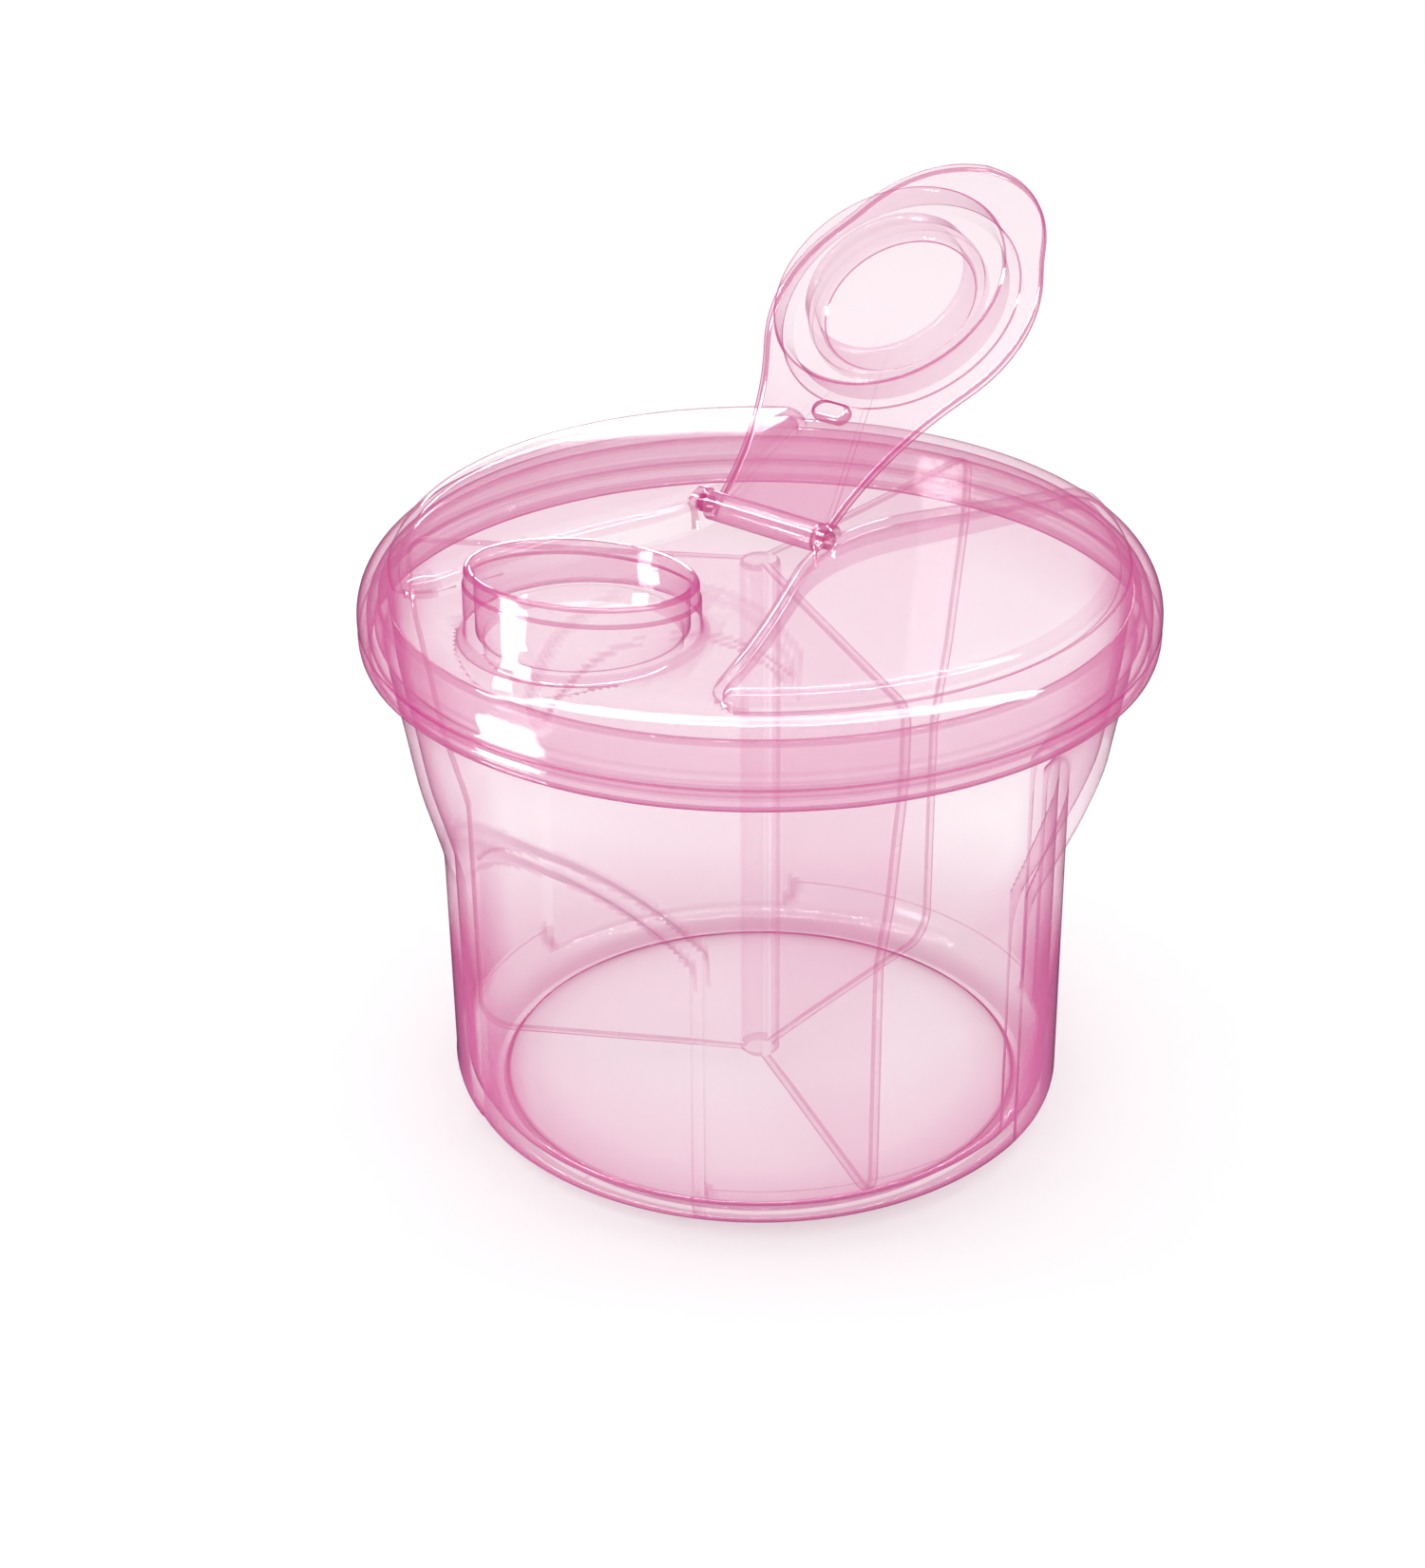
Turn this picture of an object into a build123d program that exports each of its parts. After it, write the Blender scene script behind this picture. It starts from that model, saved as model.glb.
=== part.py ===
from build123d import *
import os
from math import cos, radians, sin

# Milk powder dispenser: a cup, a lift-out divider with three wings, a press-on lid that turns
# over the divider, and a flip cap hinged on the lid. Millimetres, +Z up, origin at the centre
# of the foot. The pouring spout points to -Y, and the cap stands open.

# cup
CUP_WALL = 1.4
CUP_FLOOR = 2.0
FOOT_RECESS = 0.8
FOOT_INNER_R = 37.0
FOOT_OUTER_R = 38.2
BODY_Z = 5.8
BODY_R = 43.7
WAIST_Z = 36.0
WAIST_R = 44.1
FLARE = [(45.6, 44.5), (47.2, 50.5), (48.6, 58.5)]
FLARE_TOP = (50.4, 69.0)
FLARE_TANGENTS = [(0, 1), (0.16, 1)]
RIM_R = 51.0
RIM_Z = 77.8
RIM_BEAD_R = 51.7
RIM_BEAD_Z = 73.2
RIM_BEAD_HALF = 0.5
RIM_BEAD_ROOT = 1.0
RIM_BEAD_SPREAD = 1.2

# grip recesses in the cup, one over each compartment
RECESS_COUNT = 3
RECESS_R = 42.7
RECESS_OUTER_Y = -49.0
RECESS_INNER_Y = -36.0
RECESS_HALF_WIDTH = 23.0
RECESS_SIDE_Z = 52.5
RECESS_APEX_Z = 55.8
RECESS_LEDGE_SLOPE = 1.0
RECESS_SIDE_DRAFT = 0.27
RECESS_CORNER_R = 6.0
RECESS_FOOT_Z = -5.0
RECESS_BLOCK = (30.0, 80.0)

# divider
WING_COUNT = 3
WING_THICKNESS = 1.4
WING_FOOT_Z = 2.3
WING_TOP_Z = 79.8
WING_FOOT_R = 36.6
WING_BODY_R = 41.6
WING_BODY_Z = BODY_Z + 1.5
WING_WAIST = (42.0, 36.0)
WING_FLARE = [(43.5, 44.5), (45.1, 50.5), (46.5, 58.5)]
WING_FLARE_TOP = (48.3, 69.0)
WING_TIP = (48.7, 76.0)
WING_TOP_R = 45.8
HUB_R = 2.8

# lid
LID_R = 54.0
LID_WALL = 1.3
LID_BOTTOM_Z = 69.5
LID_LIP_Z = 72.6
LID_GROOVE = 0.35
LIP_CHAMFER = 0.8
LIP_DRAFT = 0.1
LIP_EDGE = 0.7
LIP_STEP = 0.45
LID_EDGE_Z = 74.0
LANE_Z = 81.6
SHOULDER_R = LANE_Z - LID_EDGE_Z
SNAP_BEAD_R = 52.1
SNAP_BEAD_Z = 70.9
SNAP_BEAD_HALF = 0.3
SNAP_LEAD = 1.2

# raised petals each side of the lane
PETAL_R = 49.3
PETAL_APEX_X = 7.8
PETAL_APEX_Y = 2.0
PETAL_SLOPE = 0.42
PETAL_APEX_FILLET = 30.0
PETAL_TIP_FILLET = 4.0
PETAL_EDGE_FILLET = 2.4
PETAL_POCKET_FILLET = 1.1
DOME_R = 422.0
DOME_TOP_Z = 86.4
PETAL_ROOT = 1.0
PETAL_LENGTH = 60.0

# spout
SPOUT_Y = -35.6
SPOUT_RIM_R = 14.7
SPOUT_BODY_R = 14.95
SPOUT_FOOT_R = 15.3
SPOUT_BORE_R = 13.5
SPOUT_THROAT_R = 12.6
SPOUT_SHELF_Z = 82.4
SPOUT_RIM_BAND = 2.3
SPOUT_ROOT = 2.5
SPOUT_FLARE = (0.6, 2.0)
SPOUT_BLANK = 20.0
SPOUT_TILT = 8.0

# hinge
HINGE_Y = 1.0
HINGE_Z = 84.8
BARREL_R = 2.0
BARREL_HALF = 9.35
PIN_R = 1.2
PIN_REACH = 1.6
PIN_CLEARANCE = 0.05
PIN_END_PLAY = 0.15
EAR_GAP = 0.3
EAR_THICKNESS = 1.8
EAR_R = 2.3

# flip cap, measured from the hinge axis along the plate
CAP_OPEN = 135.0
CAP_REACH = 37.0
CAP_GAP = 0.3
CAP_THICKNESS = 1.4
CAP_FLANGE_R = 20.2
STRAP_WAIST = (11.4, 13.5)
STRAP_FLARE = 0.82
RING_OVERLAP = 0.5
SKIRT_OUTER_R = 17.0
SKIRT_ROOT_R = 15.7
SKIRT_EDGE_R = 16.1
SKIRT_DEPTH = 4.5
PLUG_ROOT_R = 12.6
PLUG_EDGE_R = 11.9
PLUG_WALL = 1.2
PLUG_DEPTH = 5.0
TAB_R = 16.5
TAB_REACH = 8.5
NUB_LENGTH = 6.0
NUB_WIDTH = 3.0
NUB_DEPTH = 1.2
NUB_GAP = 0.3

os.makedirs("parts", exist_ok=True)


def cup_wall_outline(inset):
    """Half section of the cup from the foot to the rim, moved inwards by a wall thickness."""
    lift = CUP_FLOOR if inset else FOOT_RECESS
    foot = (FOOT_OUTER_R - inset, CUP_FLOOR if inset else 0.0)
    body = (BODY_R - inset, BODY_Z)
    waist = (WAIST_R - inset, WAIST_Z)
    flare_top = (FLARE_TOP[0] - inset, FLARE_TOP[1])
    rim = (RIM_R - inset, RIM_Z + inset)
    with BuildSketch(Plane.XZ) as section:
        with BuildLine():
            if inset:
                Line((0, lift), foot)
            else:
                Polyline((0, lift), (FOOT_INNER_R - lift, lift), (FOOT_INNER_R, 0), foot)
            TangentArc(foot, body, tangent=(1, 0))
            Line(body, waist)
            Spline(waist, *[(r - inset, z) for r, z in FLARE], flare_top, tangents=FLARE_TANGENTS)
            Polyline(flare_top, rim, (0, rim[1]), (0, lift))
        make_face()
    return section.sketch


def arch(half_width, side_z, apex_z, plane):
    """Upright arch with rounded shoulders, open side down."""
    with BuildSketch(plane) as outline:
        with BuildLine():
            crown = ThreePointArc((-half_width, side_z), (0, apex_z), (half_width, side_z))
            Polyline(crown @ 1, (half_width, RECESS_FOOT_Z), (-half_width, RECESS_FOOT_Z), crown @ 0)
        make_face()
        fillet(outline.vertices().group_by(Axis.Y)[-1], RECESS_CORNER_R)
    return outline.sketch


def grip_recess(grow):
    """Space outside the grip recess facing -Y, grown inwards by a wall thickness."""
    inner_r = RECESS_R - grow
    depth = RECESS_INNER_Y - RECESS_OUTER_Y
    drop = depth * RECESS_LEDGE_SLOPE
    draft = depth * RECESS_SIDE_DRAFT
    with BuildPart() as recess:
        with BuildSketch(Plane.XZ):
            with Locations((inner_r + RECESS_BLOCK[0] / 2, WAIST_Z)):
                Rectangle(*RECESS_BLOCK)
        revolve(axis=Axis.Z)
        wide = arch(RECESS_HALF_WIDTH + grow, RECESS_SIDE_Z + grow, RECESS_APEX_Z + grow,
                    Plane.XZ.offset(-RECESS_OUTER_Y))
        narrow = arch(RECESS_HALF_WIDTH - draft + grow, RECESS_SIDE_Z - drop + grow,
                      RECESS_APEX_Z - drop + grow, Plane.XZ.offset(-RECESS_INNER_Y))
        loft([wide, narrow], mode=Mode.INTERSECT)
    return recess.part


def cup_cavity():
    """Inside of the cup, which follows the grip recesses at a constant wall."""
    with BuildPart() as cavity:
        add(cup_wall_outline(CUP_WALL))
        revolve(axis=Axis.Z)
        with PolarLocations(0, RECESS_COUNT):
            add(grip_recess(CUP_WALL), mode=Mode.SUBTRACT)
    return cavity.part


with BuildPart() as cup:
    add(cup_wall_outline(0.0))
    revolve(axis=Axis.Z)
    with BuildSketch(Plane.XZ):
        with BuildLine():
            Polyline(
                (RIM_R - RIM_BEAD_ROOT, RIM_BEAD_Z - RIM_BEAD_SPREAD),
                (RIM_BEAD_R, RIM_BEAD_Z - RIM_BEAD_HALF),
                (RIM_BEAD_R, RIM_BEAD_Z + RIM_BEAD_HALF),
                (RIM_R - RIM_BEAD_ROOT, RIM_BEAD_Z + RIM_BEAD_SPREAD), close=True,
            )
        make_face()
    revolve(axis=Axis.Z)
    with PolarLocations(0, RECESS_COUNT):
        add(grip_recess(0.0), mode=Mode.SUBTRACT)
    add(cup_cavity(), mode=Mode.SUBTRACT)
cup.part.label = "cup"
export_step(cup.part, "parts/cup.step")


def wing():
    """One wing towards +X, which follows the inside of the cup with a little play."""
    foot = (WING_FOOT_R, WING_FOOT_Z)
    body = (WING_BODY_R, WING_BODY_Z)
    top = (WING_TOP_R, WING_TOP_Z)
    with BuildPart() as blade:
        with BuildSketch(Plane.XZ):
            with BuildLine():
                Line((0, WING_FOOT_Z), foot)
                TangentArc(foot, body, tangent=(1, 0))
                Line(body, WING_WAIST)
                Spline(WING_WAIST, *WING_FLARE, WING_FLARE_TOP, tangents=FLARE_TANGENTS)
                Line(WING_FLARE_TOP, WING_TIP)
                TangentArc(WING_TIP, top, tangent=(0, 1))
                Polyline(top, (0, WING_TOP_Z), (0, WING_FOOT_Z))
            make_face()
        extrude(amount=WING_THICKNESS / 2, both=True)
    return blade.part


with BuildPart() as divider:
    with BuildSketch(Plane.XY.offset(WING_FOOT_Z)):
        Circle(HUB_R)
    extrude(amount=WING_TOP_Z - WING_FOOT_Z)
    with PolarLocations(0, WING_COUNT, start_angle=-30):
        add(wing())
divider.part.label = "divider"
export_step(divider.part, "parts/divider.step")


def lid_outline(inset):
    """Half section of the lid without spout and petals, moved inwards by a wall thickness."""
    top = LANE_Z - inset
    edge = (LID_R - inset, LID_EDGE_Z)
    crown = (LID_R - SHOULDER_R, top)
    with BuildSketch(Plane.XZ) as section:
        with BuildLine():
            TangentArc(edge, crown, tangent=(0, 1))
            Line(crown, (0, top))
            if inset:
                bead = SNAP_BEAD_R
                Polyline((0, top), (0, LID_BOTTOM_Z), (bead + SNAP_BEAD_HALF, LID_BOTTOM_Z),
                         (bead, SNAP_BEAD_Z - SNAP_BEAD_HALF), (bead, SNAP_BEAD_Z + SNAP_BEAD_HALF),
                         (LID_R - inset, SNAP_BEAD_Z + SNAP_LEAD), edge)
            else:
                Polyline((0, top), (0, LID_BOTTOM_Z), (LID_R - LIP_EDGE, LID_BOTTOM_Z),
                         (LID_R - LIP_DRAFT, LID_BOTTOM_Z + LIP_CHAMFER), (LID_R, LID_LIP_Z - LIP_STEP),
                         (LID_R - LID_GROOVE, LID_LIP_Z), (LID_R, LID_LIP_Z + LIP_STEP), edge)
        make_face()
    return section.sketch


def petal(inset, edge_fillet):
    """Raised part of the lid on the +X side of the lane, moved inwards by a wall thickness."""
    far_x = PETAL_APEX_X + PETAL_SLOPE * PETAL_LENGTH
    front_y, rear_y = PETAL_APEX_Y - PETAL_LENGTH, PETAL_APEX_Y + PETAL_LENGTH
    with BuildPart() as raised:
        with BuildSketch(Plane.XY.offset(LANE_Z - LID_WALL - PETAL_ROOT)) as outline:
            with BuildLine():
                Polyline(
                    (PETAL_APEX_X, PETAL_APEX_Y), (far_x, rear_y), (far_x + PETAL_LENGTH, rear_y),
                    (far_x + PETAL_LENGTH, front_y), (far_x, front_y), close=True,
                )
            make_face()
            fillet(outline.vertices().sort_by(Axis.X)[0], PETAL_APEX_FILLET)
            if inset:
                offset(amount=-inset, kind=Kind.INTERSECTION, mode=Mode.REPLACE)
            Circle(PETAL_R - inset, mode=Mode.INTERSECT)
            tips = outline.vertices().sort_by(Axis.Y)
            fillet([tips[0], tips[-1]], PETAL_TIP_FILLET - inset)
        extrude(amount=DOME_TOP_Z - LANE_Z + LID_WALL + 2 * PETAL_ROOT)
        with Locations((0, 0, DOME_TOP_Z - DOME_R - inset)):
            Sphere(DOME_R, mode=Mode.INTERSECT)
        fillet(raised.faces().sort_by(Axis.Z)[-1].edges(), edge_fillet)
    return raised.part


def lid_cavity():
    """Inside of the lid, with the hollow under each petal."""
    with BuildPart() as cavity:
        add(lid_outline(LID_WALL))
        revolve(axis=Axis.Z)
        add(petal(LID_WALL, PETAL_POCKET_FILLET))
        mirror(petal(LID_WALL, PETAL_POCKET_FILLET), about=Plane.YZ)
    return cavity.part


def spout_top(drop):
    """Plane of the spout's tilted rim, which passes through the hinge axis."""
    normal = (0, sin(radians(SPOUT_TILT)), cos(radians(SPOUT_TILT)))
    return Plane(origin=(0, HINGE_Y, HINGE_Z), x_dir=(1, 0, 0), z_dir=normal).offset(-drop)


def spout_wall(foot_r, top_r, drop):
    """Filled spout up to its tilted rim, or to a level below the rim."""
    with BuildPart() as wall:
        with BuildSketch(Plane.XZ.offset(-SPOUT_Y)):
            with BuildLine():
                Polyline((0, LANE_Z - SPOUT_ROOT), (foot_r, LANE_Z - SPOUT_ROOT),
                         (foot_r, LANE_Z + SPOUT_FLARE[0]), (top_r, LANE_Z + SPOUT_FLARE[1]),
                         (top_r, LANE_Z + SPOUT_BLANK), (0, LANE_Z + SPOUT_BLANK), close=True)
            make_face()
        revolve(axis=Axis((0, SPOUT_Y, 0), (0, 0, 1)))
        split(bisect_by=spout_top(drop), keep=Keep.BOTTOM)
    return wall.part


with BuildPart() as lid:
    add(lid_outline(0.0))
    revolve(axis=Axis.Z)
    add(petal(0.0, PETAL_EDGE_FILLET))
    mirror(petal(0.0, PETAL_EDGE_FILLET), about=Plane.YZ)
    add(spout_wall(SPOUT_FOOT_R, SPOUT_BODY_R, SPOUT_RIM_BAND))
    add(spout_wall(SPOUT_FOOT_R - 0.5, SPOUT_RIM_R, 0.0))
    for side in (-1, 1):
        with BuildSketch(Plane.YZ.offset(side * (BARREL_HALF + EAR_GAP))):
            with Locations((HINGE_Y, HINGE_Z)):
                Circle(EAR_R)
            with Locations((HINGE_Y, (HINGE_Z + LANE_Z - 1) / 2)):
                Rectangle(2 * EAR_R, HINGE_Z - LANE_Z + 1)
        extrude(amount=side * EAR_THICKNESS)
    add(lid_cavity(), mode=Mode.SUBTRACT)
    with Locations((0, SPOUT_Y, SPOUT_SHELF_Z + SPOUT_BLANK / 2)):
        Cylinder(SPOUT_BORE_R, SPOUT_BLANK, mode=Mode.SUBTRACT)
    with Locations((0, SPOUT_Y, LANE_Z)):
        Cylinder(SPOUT_THROAT_R, SPOUT_BLANK / 2, mode=Mode.SUBTRACT)
    with BuildSketch(Plane.YZ):
        with Locations((HINGE_Y, HINGE_Z)):
            Circle(PIN_R + PIN_CLEARANCE)
    extrude(amount=BARREL_HALF + PIN_REACH + PIN_END_PLAY, both=True, mode=Mode.SUBTRACT)
lid.part.label = "lid"
export_step(lid.part, "parts/lid.step")


def strap():
    """Strap from the hinge to the disc, with hollowed sides."""
    flare_x = STRAP_FLARE * CAP_FLANGE_R
    flare_y = -CAP_REACH + (CAP_FLANGE_R ** 2 - flare_x ** 2) ** 0.5
    with BuildSketch(Plane.XY.offset(CAP_GAP)) as outline:
        with BuildLine():
            for side in (-1, 1):
                ThreePointArc((side * BARREL_HALF, 0), (side * STRAP_WAIST[0], -STRAP_WAIST[1]),
                              (side * flare_x, flare_y))
            Line((-flare_x, flare_y), (flare_x, flare_y))
            Line((-BARREL_HALF, 0), (BARREL_HALF, 0))
        make_face()
    return outline.sketch


with BuildPart() as flap:
    with BuildSketch(Plane.YZ):
        Circle(BARREL_R)
    extrude(amount=BARREL_HALF, both=True)
    with BuildSketch(Plane.YZ):
        Circle(PIN_R)
    extrude(amount=BARREL_HALF + PIN_REACH, both=True)
    add(strap())
    with BuildSketch(Plane.XY.offset(CAP_GAP)):
        with Locations((0, -CAP_REACH)):
            Circle(CAP_FLANGE_R)
        with Locations((0, -CAP_REACH - TAB_REACH)):
            Circle(TAB_R)
    extrude(amount=CAP_THICKNESS)
    with BuildSketch(Plane.YZ):
        with BuildLine():
            Polyline(
                (-CAP_REACH + SKIRT_ROOT_R, CAP_GAP + RING_OVERLAP),
                (-CAP_REACH + SKIRT_OUTER_R, CAP_GAP + RING_OVERLAP),
                (-CAP_REACH + SKIRT_OUTER_R, -SKIRT_DEPTH),
                (-CAP_REACH + SKIRT_EDGE_R, -SKIRT_DEPTH), close=True,
            )
        make_face()
        with BuildLine():
            Polyline(
                (-CAP_REACH + PLUG_ROOT_R, CAP_GAP + RING_OVERLAP), (-CAP_REACH + PLUG_EDGE_R, -PLUG_DEPTH),
                (-CAP_REACH + PLUG_EDGE_R - PLUG_WALL, -PLUG_DEPTH),
                (-CAP_REACH + PLUG_ROOT_R - PLUG_WALL, CAP_GAP + RING_OVERLAP), close=True,
            )
        make_face()
    revolve(axis=Axis((0, -CAP_REACH, 0), (0, 0, 1)))
    with BuildSketch(Plane.XY.offset(CAP_GAP)):
        with Locations((0, -CAP_REACH + SKIRT_OUTER_R + NUB_WIDTH / 2 + NUB_GAP)):
            SlotOverall(NUB_LENGTH, NUB_WIDTH)
    extrude(amount=-NUB_DEPTH)
flap_cap = flap.part.rotate(Axis.X, -SPOUT_TILT - CAP_OPEN).translate((0, HINGE_Y, HINGE_Z))
flap_cap.label = "flap_cap"
export_step(flap_cap, "parts/flap_cap.step")
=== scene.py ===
from math import atan2, cos, degrees, pi, radians, sin, sqrt

import bpy
import numpy as np
from mathutils import Matrix, Vector


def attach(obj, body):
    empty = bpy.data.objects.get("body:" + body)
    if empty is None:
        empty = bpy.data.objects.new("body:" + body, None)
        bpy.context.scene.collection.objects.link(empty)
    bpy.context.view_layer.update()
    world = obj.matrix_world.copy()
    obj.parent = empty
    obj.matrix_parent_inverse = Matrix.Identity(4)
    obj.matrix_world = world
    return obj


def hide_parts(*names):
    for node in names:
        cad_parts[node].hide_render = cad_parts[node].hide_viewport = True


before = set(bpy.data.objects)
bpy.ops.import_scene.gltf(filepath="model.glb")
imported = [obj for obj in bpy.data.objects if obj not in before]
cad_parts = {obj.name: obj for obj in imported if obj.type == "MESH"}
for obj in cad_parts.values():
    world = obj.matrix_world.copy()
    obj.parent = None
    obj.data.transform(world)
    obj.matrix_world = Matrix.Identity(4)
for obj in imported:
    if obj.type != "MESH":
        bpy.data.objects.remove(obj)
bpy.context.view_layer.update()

MM = 0.001

# Sizes in millimetres, in the frame's axes: +Z up, spout towards -Y, cap hinge along X.
# A profile is a list of (radius, height) points, and an outline one of points in a plate's own plane.
CUP_WALL = 1.4
CUP_FLOOR = 2.0
CUP_FLARE = [(44.1, 36.0), (44.35, 39.5), (45.6, 44.5), (47.2, 50.5), (48.6, 58.5), (50.4, 69.0),
             (51.0, 77.1)]
CUP_BEAD = [(50.62, 71.3), (50.9, 71.8), (51.45, 72.4), (51.68, 72.9), (51.68, 73.5), (51.45, 74.0),
            (51.0, 74.6)]
BEAD_FROM_Z = 71.2
BEAD_TO_Z = 75.2
BASE_R = 43.7
BASE_Z = 5.8
FOOT_R = 38.2
FOOT_FILLET = 5.7
FOOT_DISH = [(0, 0.9), (20, 0.85), (36.2, 0.8)]
DISH_EDGE = 0.4
STAND_R = 37.3
STAND_FILLET = 0.7
FLOOR_FILLET = 4.6
FLOOR_CROWN = [(30, CUP_FLOOR), (18, CUP_FLOOR + 0.02), (0, CUP_FLOOR + 0.05)]
WALL_STEP = 0.7
FLARE_STEP = 0.55

COMPARTMENTS = 3
COMPARTMENT_TURN = 360 / COMPARTMENTS
RECESS_R = 42.7
RECESS_HALF = 20.0
RECESS_APEX_Z = 49.3
RECESS_SIDE_Z = 41.0
RECESS_ARCH_POWER = 2.4
RECESS_ARCH_LIMIT = 1.2
RECESS_LEDGE_SLOPE = 3.4
RECESS_LEDGE_SOFTNESS = 1.6
RECESS_SOFTNESS = 0.5
RECESS_FROM_Z = 2.0
RECESS_TO_Z = 66.0
RECESS_INNER_R = 30.0

LID_WALL = 1.3
LID_R = 54.0
LID_BOTTOM_Z = 69.5
LID_EDGE_Z = 74.0
LANE_Z = 81.6
SHOULDER_R = LANE_Z - LID_EDGE_Z
LANE_RINGS = (44, 38, 30, 22, 14, 7, 0)
LIP_OUTSIDE = [(0, LID_BOTTOM_Z), (52.9, LID_BOTTOM_Z), (53.3, LID_BOTTOM_Z + 0.1),
               (53.65, LID_BOTTOM_Z + 0.45), (53.85, 70.5), (53.97, 71.2), (54.0, 71.8), (53.93, 72.15),
               (53.7, 72.45), (53.6, 72.65), (53.7, 72.85), (53.92, 73.15), (54.0, 73.5)]
LIP_INSIDE = [(0, 60), (52.6, 60), (52.6, LID_BOTTOM_Z + 0.1), (52.4, LID_BOTTOM_Z + 0.35),
              (52.15, 70.4), (52.1, 70.8), (52.15, 71.2), (52.45, 71.8), (LID_R - LID_WALL, 72.4),
              (LID_R - LID_WALL, 73.2)]

PETAL_R = 49.3
PETAL_APEX = (7.8, 2.0)
PETAL_SLOPE = 0.42
PETAL_APEX_FILLET = 30.0
PETAL_STRAIGHT = 20.0
PETAL_BEND = 0.004
PETAL_TIP_FILLET = 4.0
PETAL_EDGE = 3.0
PETAL_INNER_EDGE = 1.4
PETAL_ROOT = 1.9
PETAL_ROOT_EDGE = 0.05
PETAL_MIDDLE = (27, 1.4)
DOME_R = 422.0
DOME_TOP_Z = 86.4

SPOUT_Y = -35.6
SPOUT_RIM_R = 14.7
SPOUT_RIM_FILLET = 0.55
SPOUT_BODY_R = 14.95
SPOUT_FOOT_R = 16.0
SPOUT_FOOT_FILLET = 1.1
SPOUT_BORE_R = 13.5
SPOUT_THROAT_R = 12.6
SPOUT_SHELF_Z = 82.4
SPOUT_TILT = radians(8.0)
TILT_FROM = 10
TILT_RIM = 20

HINGE_Y = 1.0
HINGE_Z = 84.8
BARREL_R = 2.0
BARREL_HALF = 9.35
BARREL_MIDDLE = 3
BARREL_EDGE = 0.3
PIN_R = 1.2
PIN_EDGE = 0.2
PIN_END = 10.95
PIN_PLAY = 0.05
EAR_GAP = 0.3
HOLE_HALF = 11.0
EAR_PROFILE = [(0, 0), (1.9, 0), (2.2, 0.3), (2.2, 1.5), (1.8, 1.9), (0, 1.9)]
WEB_OUTLINE = [(-2.0, -4), (2.0, -4), (2.0, 0), (-2.0, 0)]
WEB_THICKNESS = 1.8
WEB_EDGE = 0.1

CAP_OPEN = radians(135.0)
CAP_REACH = 37.0
CAP_FLANGE_R = 20.2
CAP_GAP = 0.3
CAP_THICKNESS = 1.4
CAP_LOW_EDGE = 0.35
CAP_TOP_EDGE = 0.5
CAP_MIDDLE = (0, 36)
CAP_WAIST = (11.4, 13.5)
CAP_FLARE = 0.82
CAP_SMOOTHING = 24
TAB_R = 16.5
TAB_REACH = 8.5
SKIRT_PROFILE = [(15.7, 0.8), (15.7, 0.35), (16.0, -3.9), (16.15, -4.3), (16.45, -4.5), (16.75, -4.35),
                 (16.9, -4.0), (17.0, -0.4), (17.15, 0.1), (17.45, 0.35), (17.45, 0.8)]
PLUG_PROFILE = [(12.9, 0.8), (12.9, 0.35), (12.62, 0.05), (12.55, -0.9), (12.75, -1.25), (12.75, -1.55),
                (12.45, -1.9), (11.95, -4.6), (11.75, -4.9), (11.35, -5.0), (10.95, -4.9), (10.75, -4.6),
                (11.3, -0.2), (11.0, 0.2), (10.7, 0.35), (10.7, 0.8)]
NUB_R = 1.5
NUB_REACH = CAP_REACH - 17.0 - 1.8
NUB_DEPTH = 0.9
NUB_EDGE = 0.6
NUB_ROOT_EDGE = 0.05

WING_THICKNESS = 1.4
WING_FOOT_Z = 2.3
WING_TOP_Z = 79.8
WING_FACE_EDGE = 0.4
WING_FIRST_TURN = -30
WING_MIDDLE = (20.0, 41.0)
WING_EDGE = [(41.7, 9.0), (42.0, 36.0), (42.3, 40.0), (43.5, 44.5), (45.1, 50.5), (46.5, 58.5),
             (48.3, 69.0), (48.7, 76.0)]
WING_FOOT_CORNER = (36.9, 7.1)
WING_FOOT_FILLET = 4.8
WING_TOP_CORNER = (45.9, 77.0)
WING_TOP_FILLET = 2.8
HUB_R = 2.8
HUB_FOOT_EDGE = 0.6
HUB_TOP_EDGE = 0.8

ROUND = 384
SMALL_ROUND = 48
PIN_ROUND = 32
REPEAT_GAP = 0.02
UNDERSIDE_SHARES = (0.5, 0.8, 1.0)
TOP_SHARES = (0.93, 0.85, 0.75, 0.63, 0.5, 0.36, 0.2, 0.08)
SHARP_ANGLE = radians(38)
RIM_BEND = radians(2.5)
RIM_SHARE = 0.6
RIM_CURVATURE = ((0.12, 0.2, 0.55, 1.6), (0.0, 0.2, 0.3, 1.0))

# How much deeper the pink is at each height of the cup and the lid, and along the cap.
CUP_DEPTH = ((0, 8, 26, 62, 69.5, 78), (4.6, 4.2, 1.2, 1.0, 2.4, 2.4))
CUP_FLOOR_R = 36.5
LID_DEPTH = ((69, 77, 81, 90), (2.3, 2.0, 1.0, 1.0))
SPOUT_DEPTH = 2.0
SPOUT_ZONE_R = 17
FLAP_DEPTH = ((1, 12, 18, 26), (1.4, 1.2, 0.85, 0.65))

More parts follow.
